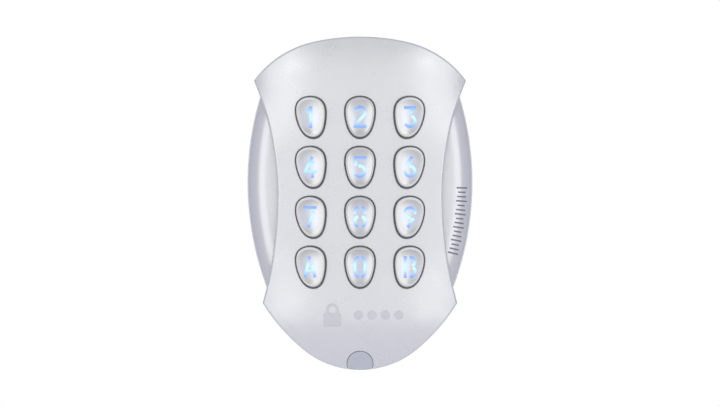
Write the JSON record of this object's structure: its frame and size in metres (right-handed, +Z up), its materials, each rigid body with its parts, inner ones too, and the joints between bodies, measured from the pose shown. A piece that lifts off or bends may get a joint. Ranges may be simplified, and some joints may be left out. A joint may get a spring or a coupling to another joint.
{
  "type": "alarm keypad panel",
  "caption": "Wall-mounted alarm keypad: hourglass metal cover over a winged housing, with egg-shaped backlit push keys and a half-moon cap over its security screw.",
  "frame": {"origin": "centre of the wall face, on the wall plane", "axes": "+Z up, +Y into the wall, front faces -Y, +X to the right seen from the front"},
  "size_m": [0.0965, 0.0326, 0.142],
  "materials": {
    "pearl_metal": "pearl silver paint on die-cast metal, satin",
    "pearl_plastic": "pearl silver, satin gloss",
    "plate_steel": "zinc plated",
    "black_rubber": "matt",
    "cap_plastic": "satin grey",
    "screw_steel": "bright zinc",
    "circuit_board": "green solder mask",
    "silicone": "milky, matt",
    "gold": "gold plated copper",
    "led_body": "clear blue lamp",
    "black_plastic": "fine texture",
    "spacer_brass": "nickel free, turned",
    "green_plastic": "smooth",
    "can_aluminium": "sleeved can",
    "plunger_plastic": "smooth",
    "key_metal": "satin chrome",
    "guide_clear": "translucent, lit blue from behind",
    "carbon": "conductive carbon"
  },
  "bodies": {
    "panel": {"front_cover": "pearl_metal", "rear_housing": "pearl_plastic", "back_plate": "plate_steel", "wall_gasket": "black_rubber", "security_screw": "screw_steel", "keypad_board": "circuit_board", "key_mat": "silicone", "contact_pads": "gold", "backlight_leds": "led_body", "main_board": "circuit_board", "board_connector": "black_plastic", "board_spacers": "spacer_brass", "board_screws": "screw_steel", "terminal_block": "green_plastic", "terminal_screws": "screw_steel", "relays": "black_plastic", "buzzer": "black_plastic", "capacitors": "can_aluminium", "chips": "black_plastic", "cable_grommet": "black_rubber", "tamper_switch": "black_plastic", "tamper_spring": "screw_steel"},
    "key_1": {"key_cap_1": "key_metal", "light_guide_1": "guide_clear", "carbon_pill_1": "carbon"},
    "key_2": {"key_cap_2": "key_metal", "light_guide_2": "guide_clear", "carbon_pill_2": "carbon"},
    "key_3": {"key_cap_3": "key_metal", "light_guide_3": "guide_clear", "carbon_pill_3": "carbon"},
    "key_4": {"key_cap_4": "key_metal", "light_guide_4": "guide_clear", "carbon_pill_4": "carbon"},
    "key_5": {"key_cap_5": "key_metal", "light_guide_5": "guide_clear", "carbon_pill_5": "carbon"},
    "key_6": {"key_cap_6": "key_metal", "light_guide_6": "guide_clear", "carbon_pill_6": "carbon"},
    "key_7": {"key_cap_7": "key_metal", "light_guide_7": "guide_clear", "carbon_pill_7": "carbon"},
    "key_8": {"key_cap_8": "key_metal", "light_guide_8": "guide_clear", "carbon_pill_8": "carbon"},
    "key_9": {"key_cap_9": "key_metal", "light_guide_9": "guide_clear", "carbon_pill_9": "carbon"},
    "key_A": {"key_cap_A": "key_metal", "light_guide_A": "guide_clear", "carbon_pill_A": "carbon"},
    "key_0": {"key_cap_0": "key_metal", "light_guide_0": "guide_clear", "carbon_pill_0": "carbon"},
    "key_B": {"key_cap_B": "key_metal", "light_guide_B": "guide_clear", "carbon_pill_B": "carbon"},
    "screw_cap": {"screw_cap": "cap_plastic"},
    "tamper_plunger": {"tamper_plunger": "plunger_plastic"}
  },
  "joints": [
    {"name": "press_1", "type": "slide", "parent": "panel", "child": "key_1", "axis": [0, 1, 0], "range_m": [0, 0.001], "stiffness_N_per_m": 1500, "deforming": ["key_mat"]},
    {"name": "press_2", "type": "slide", "parent": "panel", "child": "key_2", "axis": [0, 1, 0], "range_m": [0, 0.001], "stiffness_N_per_m": 1500, "deforming": ["key_mat"]},
    {"name": "press_3", "type": "slide", "parent": "panel", "child": "key_3", "axis": [0, 1, 0], "range_m": [0, 0.001], "stiffness_N_per_m": 1500, "deforming": ["key_mat"]},
    {"name": "press_4", "type": "slide", "parent": "panel", "child": "key_4", "axis": [0, 1, 0], "range_m": [0, 0.001], "stiffness_N_per_m": 1500, "deforming": ["key_mat"]},
    {"name": "press_5", "type": "slide", "parent": "panel", "child": "key_5", "axis": [0, 1, 0], "range_m": [0, 0.001], "stiffness_N_per_m": 1500, "deforming": ["key_mat"]},
    {"name": "press_6", "type": "slide", "parent": "panel", "child": "key_6", "axis": [0, 1, 0], "range_m": [0, 0.001], "stiffness_N_per_m": 1500, "deforming": ["key_mat"]},
    {"name": "press_7", "type": "slide", "parent": "panel", "child": "key_7", "axis": [0, 1, 0], "range_m": [0, 0.001], "stiffness_N_per_m": 1500, "deforming": ["key_mat"]},
    {"name": "press_8", "type": "slide", "parent": "panel", "child": "key_8", "axis": [0, 1, 0], "range_m": [0, 0.001], "stiffness_N_per_m": 1500, "deforming": ["key_mat"]},
    {"name": "press_9", "type": "slide", "parent": "panel", "child": "key_9", "axis": [0, 1, 0], "range_m": [0, 0.001], "stiffness_N_per_m": 1500, "deforming": ["key_mat"]},
    {"name": "press_A", "type": "slide", "parent": "panel", "child": "key_A", "axis": [0, 1, 0], "range_m": [0, 0.001], "stiffness_N_per_m": 1500, "deforming": ["key_mat"]},
    {"name": "press_0", "type": "slide", "parent": "panel", "child": "key_0", "axis": [0, 1, 0], "range_m": [0, 0.001], "stiffness_N_per_m": 1500, "deforming": ["key_mat"]},
    {"name": "press_B", "type": "slide", "parent": "panel", "child": "key_B", "axis": [0, 1, 0], "range_m": [0, 0.001], "stiffness_N_per_m": 1500, "deforming": ["key_mat"]},
    {"name": "screw_cap_pull", "type": "slide", "parent": "panel", "child": "screw_cap", "axis": [0, -1, 0], "range_m": [0, 0.015]},
    {"name": "tamper_slide", "type": "slide", "parent": "panel", "child": "tamper_plunger", "axis": [0, 1, 0], "range_m": [-0.0015, 0.0005], "stiffness_N_per_m": 300, "deforming": ["tamper_spring"]}
  ]
}
